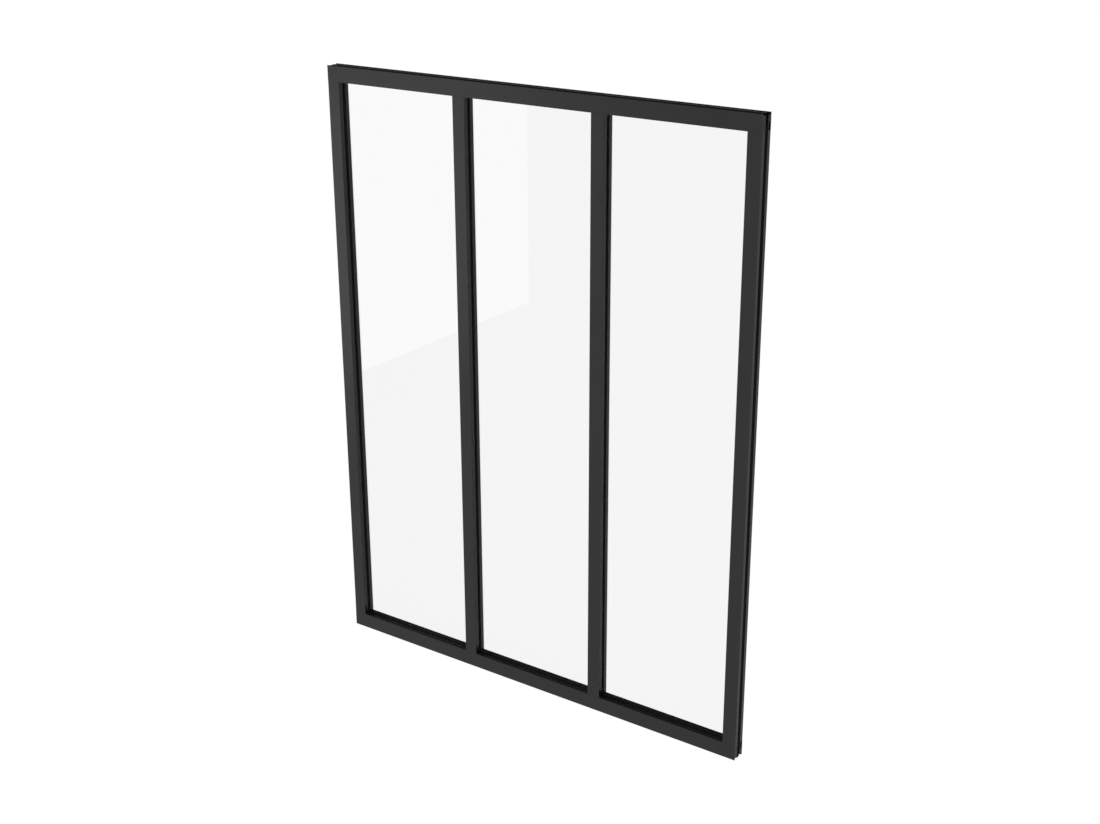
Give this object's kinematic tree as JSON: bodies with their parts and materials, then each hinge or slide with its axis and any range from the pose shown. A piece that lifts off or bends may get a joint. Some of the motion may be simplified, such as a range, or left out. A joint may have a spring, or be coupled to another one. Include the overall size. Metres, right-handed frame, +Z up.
{
  "type": "interior glass partition",
  "caption": "Fixed interior partition of slim dark aluminium uprights and rails holding tall clear panes, set into a wall opening to divide rooms and pass light.",
  "frame": {"origin": "on the underside of the bottom rail's bearing rib, at the middle of the partition's width and depth", "axes": "+X to the right seen from the front, +Y from the front face to the rear covers, +Z up"},
  "size_m": [0.933, 0.0286, 1.2],
  "materials": {
    "frame_coating": "fine-textured satin black powder coat on extruded aluminium",
    "clear_glass": "clear polished float glass",
    "gasket_rubber": "matt black rubber, extruded for the gaskets and cut from sheet for the end pads",
    "setting_block": "matt black moulded plastic",
    "trim_plastic": "satin black plastic, extruded for the groove fillers and moulded for the end plugs"
  },
  "bodies": {
    "root": {"bottom_rail": "frame_coating", "bottom_rail_cover": "frame_coating", "top_rail": "frame_coating", "top_rail_cover": "frame_coating", "left_stile": "frame_coating", "left_stile_cover": "frame_coating", "left_mullion": "frame_coating", "left_mullion_cover": "frame_coating", "right_mullion": "frame_coating", "right_mullion_cover": "frame_coating", "right_stile": "frame_coating", "right_stile_cover": "frame_coating", "left_pane": "clear_glass", "middle_pane": "clear_glass", "right_pane": "clear_glass", "left_front_gasket": "gasket_rubber", "middle_front_gasket": "gasket_rubber", "right_front_gasket": "gasket_rubber", "left_rear_gasket": "gasket_rubber", "middle_rear_gasket": "gasket_rubber", "right_rear_gasket": "gasket_rubber", "left_pane_left_block": "setting_block", "left_pane_right_block": "setting_block", "middle_pane_left_block": "setting_block", "middle_pane_right_block": "setting_block", "right_pane_left_block": "setting_block", "right_pane_right_block": "setting_block", "left_stile_filler": "trim_plastic", "right_stile_filler": "trim_plastic", "bottom_rail_left_plug": "trim_plastic", "bottom_rail_right_plug": "trim_plastic", "bottom_rail_cover_left_plug": "trim_plastic", "bottom_rail_cover_right_plug": "trim_plastic", "top_rail_left_plug": "trim_plastic", "top_rail_right_plug": "trim_plastic", "top_rail_cover_left_plug": "trim_plastic", "top_rail_cover_right_plug": "trim_plastic", "bottom_rail_left_pad": "gasket_rubber", "bottom_rail_right_pad": "gasket_rubber", "top_rail_left_pad": "gasket_rubber", "top_rail_right_pad": "gasket_rubber"}
  },
  "joints": []
}
